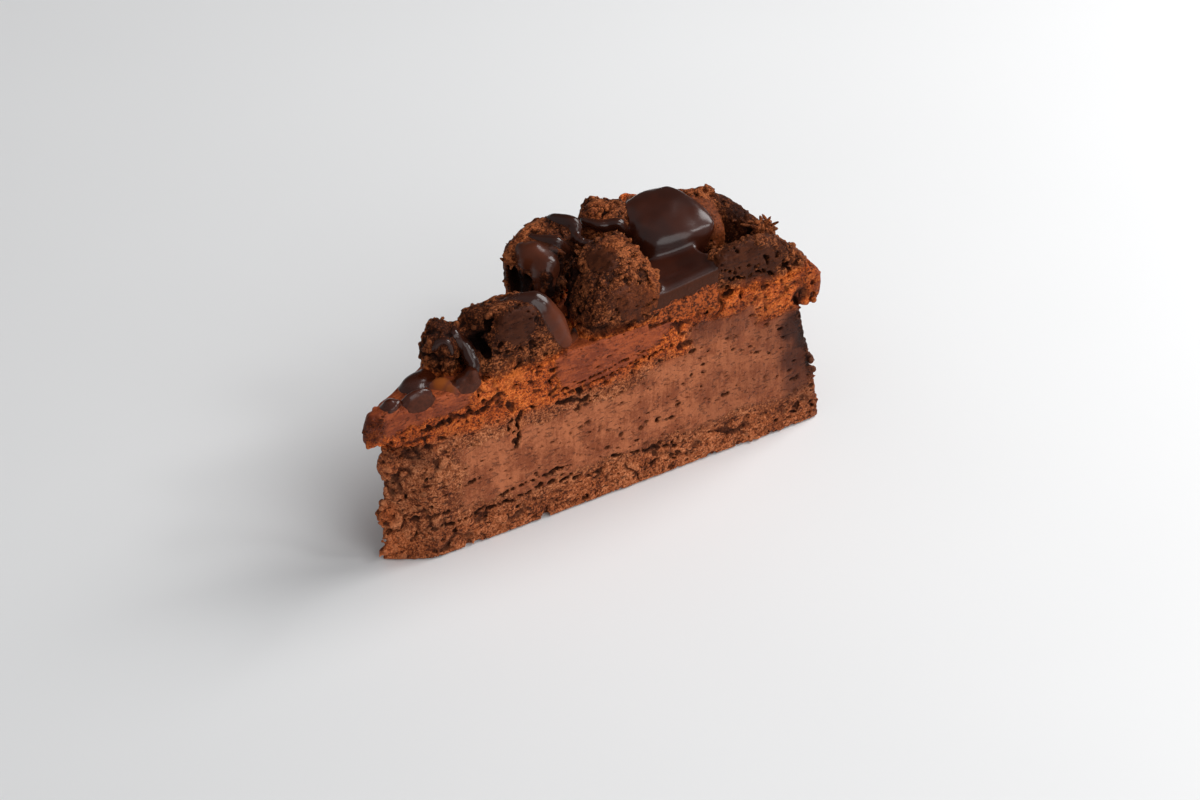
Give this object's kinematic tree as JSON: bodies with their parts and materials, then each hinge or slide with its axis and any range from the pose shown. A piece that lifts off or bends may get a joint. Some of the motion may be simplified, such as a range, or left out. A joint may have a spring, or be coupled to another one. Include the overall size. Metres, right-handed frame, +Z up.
{
  "type": "slice of triple chocolate cake",
  "caption": "Wedge of layered chocolate cake: crumb base, thick baked fudge, sponge and ganache, topped with torn brownie pieces, drops and a glossy ganache pour.",
  "frame": {"origin": "on the surface that the slice stands on, under the middle of its outline seen from above", "axes": "+Z up; +X along the slice, from its pointed end to the cake's rim; the two knife cuts face -Y and +Y"},
  "size_m": [0.133, 0.0622, 0.0635],
  "materials": {
    "crumb base": "matte dark cake crumb, coarse",
    "fudge": "dense baked fudge, knife-cut, fine pores, faintly moist",
    "sponge": "matte red-brown cake crumb",
    "ganache": "set ganache, satin where cut",
    "brownie": "torn brownie crumb, matte",
    "glaze": "poured dark ganache, glossy",
    "chocolate drop": "dark chocolate, semi-gloss"
  },
  "bodies": {
    "root": {"brownie_back": "brownie", "brownie_corner": "brownie", "brownie_cut": "brownie", "brownie_far": "brownie", "brownie_glazed": "brownie", "brownie_low": "brownie", "brownie_middle": "brownie", "brownie_rim": "brownie", "brownie_scrap": "brownie", "brownie_shard": "brownie", "brownie_small": "brownie", "chocolate_drop_1": "chocolate drop", "chocolate_drop_2": "chocolate drop", "chocolate_drop_3": "chocolate drop", "chocolate_drop_4": "chocolate drop", "crumb_base": "crumb base", "fudge_layer": "fudge", "ganache_bed": "ganache", "ganache_pour": "glaze", "sponge_layer": "sponge"}
  },
  "joints": []
}
